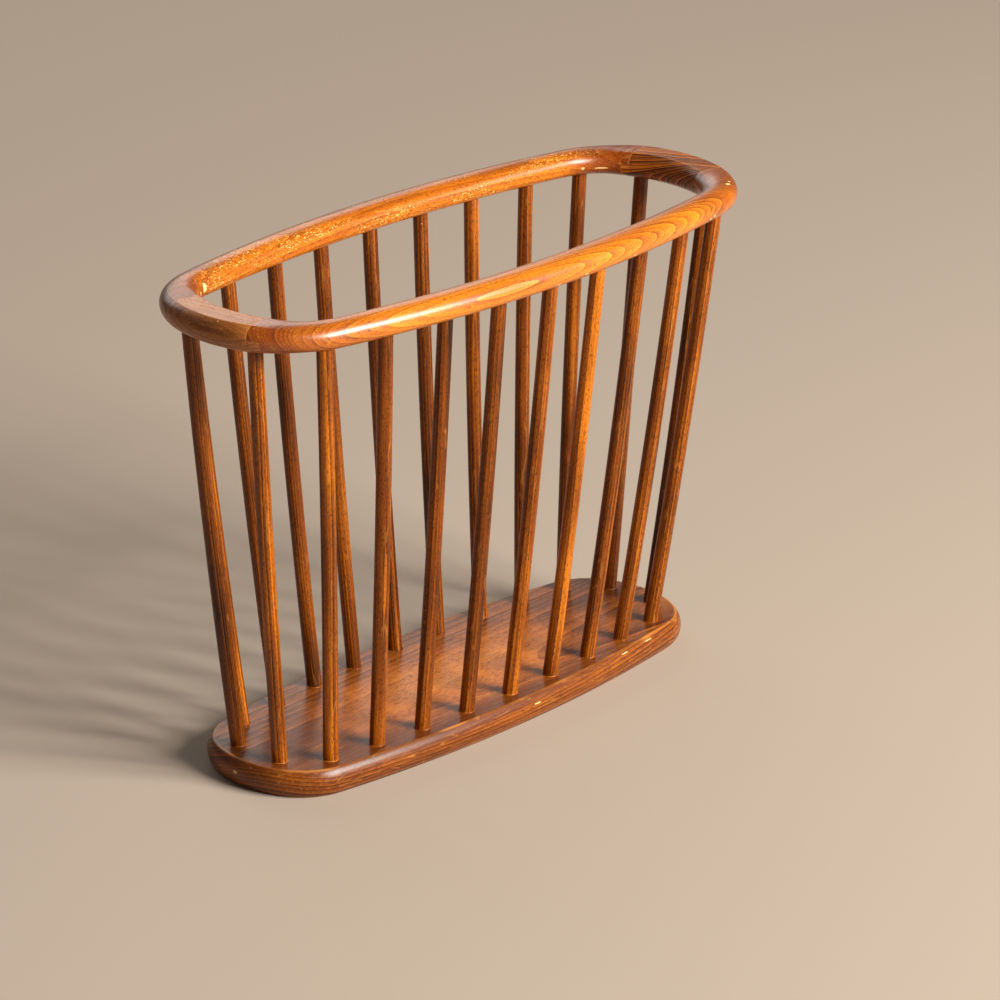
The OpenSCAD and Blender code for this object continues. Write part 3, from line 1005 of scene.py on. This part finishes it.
def build_board():
    quarter = board_oval.quarter()
    runs = [quarter * i / OUTLINE_STEPS for i in range(OUTLINE_STEPS)]
    turns = [board_oval.turn_at(run) for run in runs] + [math.pi / 2]
    verts, arris = [], []
    profile = board_profile()
    for inset, height, wear_and_highlight in profile:
        for spot in board_outline(inset, turns):
            verts.append((spot.x, spot.y, BOARD_THICKNESS / 2 + height))
            arris.append(wear_and_highlight)
    around = 4 * OUTLINE_STEPS
    faces = []
    for row in range(len(profile) - 1):
        for i in range(around):
            j = (i + 1) % around
            faces.append([row * around + i, row * around + j,
                          (row + 1) * around + j, (row + 1) * around + i])
    faces.append(list(range(around)))
    faces.append(list(range((len(profile) - 1) * around, len(profile) * around)))
    piece = mesh_piece("varnished_board", verts, faces, board_wood, {"arris": arris})
    hand_over(piece, "board_wood", "board")


# ---- Spindles ----

DOWEL_ROWS = 90
DOWEL_SIDES = 28
DOWEL_UNEVENNESS = 0.03
BEAD = 0.9 * MM
BEAD_GAP = 0.2 * MM
BEAD_ROWS = 40
BEAD_SIDES = 10


def place_on(oval, inset, run, signs):
    return oval.point(oval.turn_at(run, inset), inset) * Vector(signs)


class SpindleLine:
    """Where one spindle runs: its foot on the board, its head in the rail, and its bow."""

    def __init__(self, foot_run, head_run, signs):
        foot = place_on(board_oval, FOOT_INSET, foot_run, signs)
        head = place_on(rail_line, 0.0, head_run, signs)
        bulge = facing(board_oval.turn_at(foot_run, FOOT_INSET)) * Vector(signs)
        self.foot = Vector((foot.x, foot.y, BOARD_THICKNESS))
        self.run = Vector((head.x, head.y, RAIL_MIDDLE)) - self.foot
        self.length = self.run.length * (self.run.z - RAIL_HALF) / self.run.z
        self.bulge_way = math.atan2(bulge.y, bulge.x)

    def point(self, length, bow):
        """Point at a length up the bowed dowel from the board's top."""
        ring = ((self.length / 2) ** 2 + bow ** 2) / (2 * bow)
        angle = (length - self.length / 2) / ring
        out = bow - ring + ring * math.cos(angle)
        spot = Vector((out, 0, self.length / 2 + ring * math.sin(angle)))
        lean_way = math.atan2(self.run.y, self.run.x)
        lean = math.atan2(self.run.xy.length, self.run.z)
        turn = (Matrix.Rotation(lean_way, 3, "Z") @ Matrix.Rotation(lean, 3, "Y")
                @ Matrix.Rotation(self.bulge_way - lean_way, 3, "Z"))
        return self.foot + turn @ spot


def spindle_lines():
    """Every spindle's name and line: nine along each side and two at each end."""
    middle = (SIDE_SPINDLES + 1) // 2
    lines = {}
    for side, y_sign in (("front", -1), ("back", 1)):
        for number in range(1, SIDE_SPINDLES + 1):
            step = abs(number - middle)
            x_sign = -1 if number < middle else 1
            lines[f"spindle_{side}_{number}"] = SpindleLine(
                FOOT_SHARES[step] * (FOOT_END_RUN - FOOT_CORNER_GAP),
                HEAD_SHARES[step] * (HEAD_END_RUN - HEAD_CORNER_GAP), (x_sign, y_sign))
    for end, x_sign in (("left", -1), ("right", 1)):
        for side, y_sign in (("front", -1), ("back", 1)):
            lines[f"spindle_{end}_{side}"] = SpindleLine(FOOT_END_RUN, HEAD_END_RUN, (x_sign, y_sign))
    return lines


def make_bowed_dowel():
    """Geometry nodes for one dowel along an arc, which keeps its place in the wood on its mesh."""
    tree, given, made = node_group(
        "Bowed dowel",
        [("Foot", "place", None), ("Middle", "place", None), ("Head", "place", None),
         ("Diameter", "value", SPINDLE_DIAMETER), ("Unevenness", "value", DOWEL_UNEVENNESS),
         ("Rows", "count", DOWEL_ROWS), ("Sides", "count", DOWEL_SIDES), ("Tone", "value", 0.0),
         ("Grain Start", "place", None), ("Wood", "wood", None)],
        [("Dowel", "shape")],
        "GeometryNodeTree",
    )
    arc = put(tree, "GeometryNodeCurveArc", {"Start": given["Foot"], "Middle": given["Middle"],
                                             "End": given["Head"], "Resolution": given["Rows"]},
              mode="POINTS").outputs["Curve"]
    along = put(tree, "GeometryNodeSplineParameter").outputs["Length"]
    arc = store(tree, arc, "along", along)
    place = vector_maths(tree, "ADD", put(tree, "GeometryNodeInputPosition").outputs[0],
                         given["Grain Start"])
    swell = maths(tree, "SUBTRACT", noise(tree, place, DOWEL_SWELL_CELLS, 1.0), 0.5)
    thick = maths(tree, "MULTIPLY_ADD", swell, given["Unevenness"], 1.0)
    arc = put(tree, "GeometryNodeSetCurveRadius", {"Curve": arc, "Radius": thick}).outputs[0]
    radius = maths(tree, "MULTIPLY", given["Diameter"], 0.5)
    round_one = put(tree, "GeometryNodeCurvePrimitiveCircle", {"Resolution": given["Sides"],
                                                               "Radius": radius}).outputs["Curve"]
    across = put(tree, "GeometryNodeInputPosition").outputs[0]
    round_one = store(tree, round_one, "across", across, "FLOAT_VECTOR")
    dowel = put(tree, "GeometryNodeCurveToMesh", {"Curve": arc, "Profile Curve": round_one,
                                                  "Fill Caps": True}).outputs[0]
    section = put(tree, "ShaderNodeSeparateXYZ", {0: recall(tree, "across", "FLOAT_VECTOR")})
    in_wood = put(tree, "ShaderNodeCombineXYZ", {0: recall(tree, "along"), 1: section.outputs[0],
                                                 2: section.outputs[1]}).outputs[0]
    in_wood = vector_maths(tree, "ADD", in_wood, given["Grain Start"])
    dowel = store(tree, dowel, "wood", in_wood, "FLOAT_VECTOR")
    dowel = store(tree, dowel, "tone", given["Tone"])
    dowel = put(tree, "GeometryNodeSetShadeSmooth", {0: dowel}).outputs[0]
    dowel = put(tree, "GeometryNodeRealizeInstances", {0: dowel}).outputs[0]
    finished = {"Geometry": dowel, "Material": given["Wood"]}
    feed(tree, made["Dowel"], put(tree, "GeometryNodeSetMaterial", finished).outputs[0])
    return tree


def store(tree, shape, name, value, sort="FLOAT"):
    node = put(tree, "GeometryNodeStoreNamedAttribute", {"Geometry": shape, "Name": name},
               data_type=sort, domain="POINT")
    feed(tree, node.inputs["Value"], value)
    return node.outputs[0]


def recall(tree, name, sort="FLOAT"):
    return put(tree, "GeometryNodeInputNamedAttribute", {"Name": name}, data_type=sort).outputs[0]


def grown(name, tree, values, start_mesh=None):
    """Runs a geometry node tree with its inputs by name, and keeps the plain mesh that it makes."""
    seed = bpy.data.objects.new(name + "_seed", start_mesh or bpy.data.meshes.new(name + "_seed"))
    bpy.context.scene.collection.objects.link(seed)
    modifier = seed.modifiers.new("grown", "NODES")
    modifier.node_group = tree
    for item in tree.interface.items_tree:
        if item.in_out == "INPUT" and item.name in values:
            modifier[item.identifier] = values[item.name]
    seed.update_tag()
    scene_now = bpy.context.evaluated_depsgraph_get()
    mesh = bpy.data.meshes.new_from_object(seed.evaluated_get(scene_now), depsgraph=scene_now)
    bpy.data.objects.remove(seed)
    mesh.name = name
    for title in ("along", "across"):
        if title in mesh.attributes:
            mesh.attributes.remove(mesh.attributes[title])
    piece = bpy.data.objects.new(name, mesh)
    bpy.context.scene.collection.objects.link(piece)
    return piece


TONE_SPREAD = 0.1
# How far the grain of each dowel may be shifted: along it, across it, and off the pith
GRAIN_ALONG = 3.0
GRAIN_ACROSS = 0.012
PITH_NEAR = 0.02
PITH_SPREAD = 0.03
SPINDLE_TONES = {"spindle_left_back": -0.12, "spindle_front_9": -0.02, "spindle_right_front": -0.12}


def build_spindles(lines):
    tree = make_bowed_dowel()
    chance = random.Random(7)
    for name, line in lines.items():
        tone = SPINDLE_TONES.get(name, chance.uniform(-TONE_SPREAD, TONE_SPREAD))
        along = chance.uniform(0, GRAIN_ALONG)
        across = chance.uniform(-GRAIN_ACROSS, GRAIN_ACROSS)
        shift = Vector((along, across, PITH_NEAR + chance.uniform(0, PITH_SPREAD)))
        values = {
            "Foot": line.point(-FOOT_DEPTH, SPINDLE_BOW),
            "Middle": line.point(line.length / 2, SPINDLE_BOW),
            "Head": line.point(line.length + HEAD_DEPTH, SPINDLE_BOW),
            "Diameter": SPINDLE_DIAMETER, "Unevenness": DOWEL_UNEVENNESS,
            "Rows": DOWEL_ROWS, "Sides": DOWEL_SIDES,
            "Tone": tone, "Grain Start": shift, "Wood": spindle_wood.made,
        }
        piece = grown("varnished_" + name, tree, values)
        hand_over(piece, "spindle_wood", name)


def make_varnish_beads():
    """Geometry nodes for a fine bead of varnish round each point of a mesh."""
    tree, given, made = node_group(
        "Varnish beads",
        [("Feet", "shape", None), ("Diameter", "value", SPINDLE_DIAMETER), ("Bead", "value", BEAD),
         ("Wood", "wood", None)],
        [("Beads", "shape")],
        "GeometryNodeTree",
    )
    radius = maths(tree, "MULTIPLY", given["Diameter"], 0.5)
    ring = put(tree, "GeometryNodeCurvePrimitiveCircle", {"Resolution": BEAD_ROWS, "Radius": radius})
    round_one = put(tree, "GeometryNodeCurvePrimitiveCircle",
                    {"Resolution": BEAD_SIDES, "Radius": maths(tree, "MULTIPLY", given["Bead"], 0.5)})
    bead = put(tree, "GeometryNodeCurveToMesh", {"Curve": ring.outputs["Curve"],
                                                 "Profile Curve": round_one.outputs["Curve"]}).outputs[0]
    bead = put(tree, "GeometryNodeSetShadeSmooth", {0: bead}).outputs[0]
    beads = put(tree, "GeometryNodeInstanceOnPoints", {"Points": given["Feet"],
                                                       "Instance": bead}).outputs[0]
    beads = put(tree, "GeometryNodeRealizeInstances", {0: beads}).outputs[0]
    finished = {"Geometry": beads, "Material": given["Wood"]}
    feed(tree, made["Beads"], put(tree, "GeometryNodeSetMaterial", finished).outputs[0])
    return tree


def build_foot_beads(lines):
    feet = bpy.data.meshes.new("feet")
    feet.from_pydata([tuple(line.foot) for line in lines.values()], [], [])
    values = {"Diameter": SPINDLE_DIAMETER + BEAD_GAP, "Bead": BEAD, "Wood": bead_wood.made}
    beads = grown("varnish_beads_at_feet", make_varnish_beads(), values, feet)
    hand_over(beads, "board_wood")


# ---- Floor, light and camera ----

FLOOR_COLOUR = (0.43, 0.355, 0.29, 1)
FLOOR_ROUGHNESS = 0.8
FLOOR_SPECULAR = 0.1
FLOOR_REACH = 14.0
WINDOW_PLACE = (1.0, -3.9, 2.3)
WINDOW_SIZE = (2.4, 1.8)
WINDOW_POWER = 520
WALL_PLACE = (1.6, 3.6, 2.2)
WALL_SIZE = (4.0, 2.0)
WALL_POWER = 50
DAYLIGHT = (1.0, 0.95, 0.88)
ROOM_COLOUR = (1.0, 0.96, 0.91, 1)
ROOM_STRENGTH = 0.12


def floor_material():
    made = bpy.data.materials.new("studio_floor")
    made.use_nodes = True
    shader = made.node_tree.nodes["Principled BSDF"]
    shader.inputs["Base Color"].default_value = FLOOR_COLOUR
    shader.inputs["Roughness"].default_value = FLOOR_ROUGHNESS
    shader.inputs["Specular IOR Level"].default_value = FLOOR_SPECULAR
    return made


def build_floor():
    reach = FLOOR_REACH
    mesh = bpy.data.meshes.new("studio_floor")
    corners = [(-reach, -reach, 0), (reach, -reach, 0), (reach, reach, 0), (-reach, reach, 0)]
    mesh.from_pydata(corners, [], [(0, 1, 2, 3)])
    mesh.materials.append(floor_material())
    floor = bpy.data.objects.new("studio_floor", mesh)
    bpy.context.scene.collection.objects.link(floor)


def soft_light(name, place, size, power, colour, aim=(0, 0, 0.2)):
    lamp = bpy.data.lights.new(name, "AREA")
    lamp.shape = "RECTANGLE"
    lamp.size, lamp.size_y = size
    lamp.energy = power
    lamp.color = colour
    holder = bpy.data.objects.new(name, lamp)
    holder.location = place
    holder.rotation_euler = (Vector(aim) - Vector(place)).to_track_quat("-Z", "Y").to_euler()
    bpy.context.scene.collection.objects.link(holder)


def build_light():
    soft_light("window", WINDOW_PLACE, WINDOW_SIZE, WINDOW_POWER, DAYLIGHT)
    soft_light("far_wall_bounce", WALL_PLACE, WALL_SIZE, WALL_POWER, DAYLIGHT)
    world = bpy.data.worlds.new("studio")
    bpy.context.scene.world = world
    world.use_nodes = True
    sky = world.node_tree.nodes["Background"]
    sky.inputs["Color"].default_value = ROOM_COLOUR
    sky.inputs["Strength"].default_value = ROOM_STRENGTH
    bpy.context.scene.view_settings.view_transform = "Standard"


CAMERA_PLACE = Vector((-2.3986, -2.1660, 1.4410))
CAMERA_TURN = 48.50
CAMERA_DIP = 21.69
CAMERA_ROLL = 1.18
SENSOR = 36.0
LENS = 4.803 * SENSOR


def build_camera():
    turn, dip, roll = (math.radians(angle) for angle in (CAMERA_TURN, CAMERA_DIP, CAMERA_ROLL))
    right = Vector((math.cos(turn), -math.sin(turn), 0))
    ahead = Vector((math.sin(turn) * math.cos(dip), math.cos(turn) * math.cos(dip), -math.sin(dip)))
    up = right.cross(ahead)
    level_right = right * math.cos(roll) + up * math.sin(roll)
    level_up = up * math.cos(roll) - right * math.sin(roll)
    lens = bpy.data.cameras.new("camera")
    lens.sensor_width = SENSOR
    lens.lens = LENS
    lens.clip_end = 60
    camera = bpy.data.objects.new("camera", lens)
    axes = Matrix((level_right, level_up, -ahead)).transposed().to_4x4()
    camera.matrix_world = Matrix.Translation(CAMERA_PLACE) @ axes
    bpy.context.scene.collection.objects.link(camera)
    bpy.context.scene.camera = camera


build_camera()
build_light()
build_floor()
build_board()
build_rail()
lines = spindle_lines()
build_spindles(lines)
build_foot_beads(lines)
